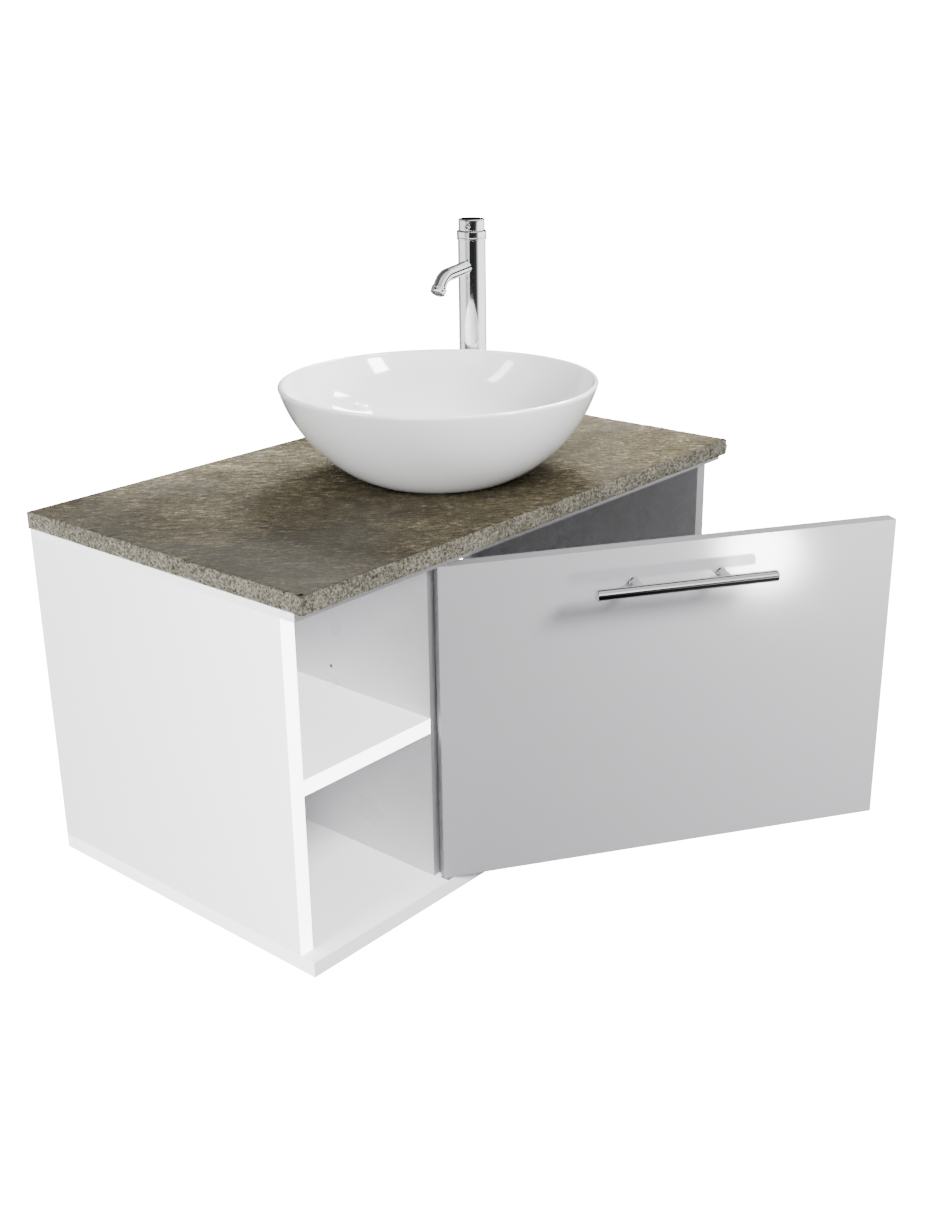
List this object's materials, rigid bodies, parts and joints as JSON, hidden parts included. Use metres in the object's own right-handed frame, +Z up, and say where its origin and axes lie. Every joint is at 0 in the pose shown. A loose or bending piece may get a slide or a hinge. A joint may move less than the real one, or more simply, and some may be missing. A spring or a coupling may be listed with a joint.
{
  "type": "wall-hung bathroom vanity with vessel basin",
  "caption": "Wall-hung vanity with open cubbies, a pivot-hung door with a bar handle, a stone-look counter, a round vessel basin, a pop-up waste and a tall single-lever mixer.",
  "frame": {"origin": "centre of the four wall fixing holes, on the wall plane", "axes": "+X to the right along the front, +Y into the wall, +Z up; the front faces -Y"},
  "size_m": [0.766, 0.7329, 0.708],
  "materials": {
    "white_board": "satin white melamine-faced board",
    "gloss_door": "high-gloss pale grey-white laminate",
    "stone_top": "speckled olive-brown granite look, rough chiselled edge",
    "white_ceramic": "high-gloss white glaze",
    "chrome_plate": "polished chrome plate",
    "satin_steel": "zinc-plated or satin steel",
    "polished_steel": "polished steel bar",
    "black_rubber": "black rubber",
    "clear_rubber": "soft clear silicone",
    "white_plastic": "moulded white plastic",
    "brass": "raw machined brass",
    "beech": "plain fluted beech",
    "magnet": "dark ferrite",
    "white_cartridge": "white moulded housing with ceramic discs"
  },
  "bodies": {
    "vanity": {"bottom_board": "white_board", "left_side_panel": "white_board", "right_side_panel": "white_board", "divider_panel": "white_board", "shelf": "white_board", "cubby_back_panel": "white_board", "upper_back_rail": "white_board", "lower_back_rail": "white_board", "left_top_stretcher": "white_board", "right_top_stretcher": "white_board", "sub_top": "white_board", "countertop": "stone_top", "wood_dowels": "beech", "carcass_screws": "satin_steel", "sub_top_screws": "satin_steel", "bottom_pivot_plate": "satin_steel", "top_pivot_plate": "satin_steel", "pivot_plate_screws": "satin_steel", "pivot_washers": "white_plastic", "catch_housing": "white_plastic", "catch_magnet": "magnet", "basin": "white_ceramic", "basin_seal": "clear_rubber", "drain_flange": "chrome_plate", "drain_upper_gasket": "black_rubber", "drain_lower_washer": "black_rubber", "drain_nut": "satin_steel", "click_cartridge": "white_plastic", "tailpiece": "chrome_plate", "tailpiece_nut": "chrome_plate", "faucet_body": "chrome_plate", "faucet_base_ring": "chrome_plate", "faucet_base_gasket": "black_rubber", "faucet_spout": "chrome_plate", "aerator_housing": "chrome_plate", "aerator_mesh": "white_plastic", "ceramic_cartridge": "white_cartridge", "cartridge_nut": "brass", "handle_collar": "chrome_plate", "fixing_stud": "satin_steel", "horseshoe_gasket": "black_rubber", "horseshoe_washer": "satin_steel", "fixing_nut": "brass"},
    "door": {"door_panel": "gloss_door", "pivot_bushings": "brass", "handle_bar": "polished_steel", "handle_posts": "polished_steel", "handle_screws": "satin_steel", "strike_plate": "satin_steel", "strike_screws": "satin_steel", "door_bumpers": "clear_rubber"},
    "tap_turn": {"cartridge_spindle": "white_cartridge", "lever_pivot_pin": "satin_steel"},
    "tap_handle": {"cartridge_stem": "brass", "handle_cap": "chrome_plate", "handle_lever": "chrome_plate", "grub_screw": "satin_steel"},
    "plug": {"drain_plug": "chrome_plate"}
  },
  "joints": [
    {"name": "door_swing", "type": "hinge", "parent": "vanity", "child": "door", "pos_m": [-0.16, -0.429, 0], "axis": [0, 0, -1], "range_deg": [-33.5, 64.5]},
    {"name": "tap_swing", "type": "hinge", "parent": "vanity", "child": "tap_turn", "pos_m": [0.215, -0.154, 0.4705], "axis": [0, 0, 1], "range_deg": [-67, 23]},
    {"name": "tap_lift", "type": "hinge", "parent": "tap_turn", "child": "tap_handle", "pos_m": [0.215, -0.154, 0.4835], "axis": [-0.5446, 0.8387, 0], "range_deg": [0, 20]},
    {"name": "plug_slide", "type": "slide", "parent": "vanity", "child": "plug", "axis": [0, 0, 1], "range_m": [0, 0.008]}
  ]
}
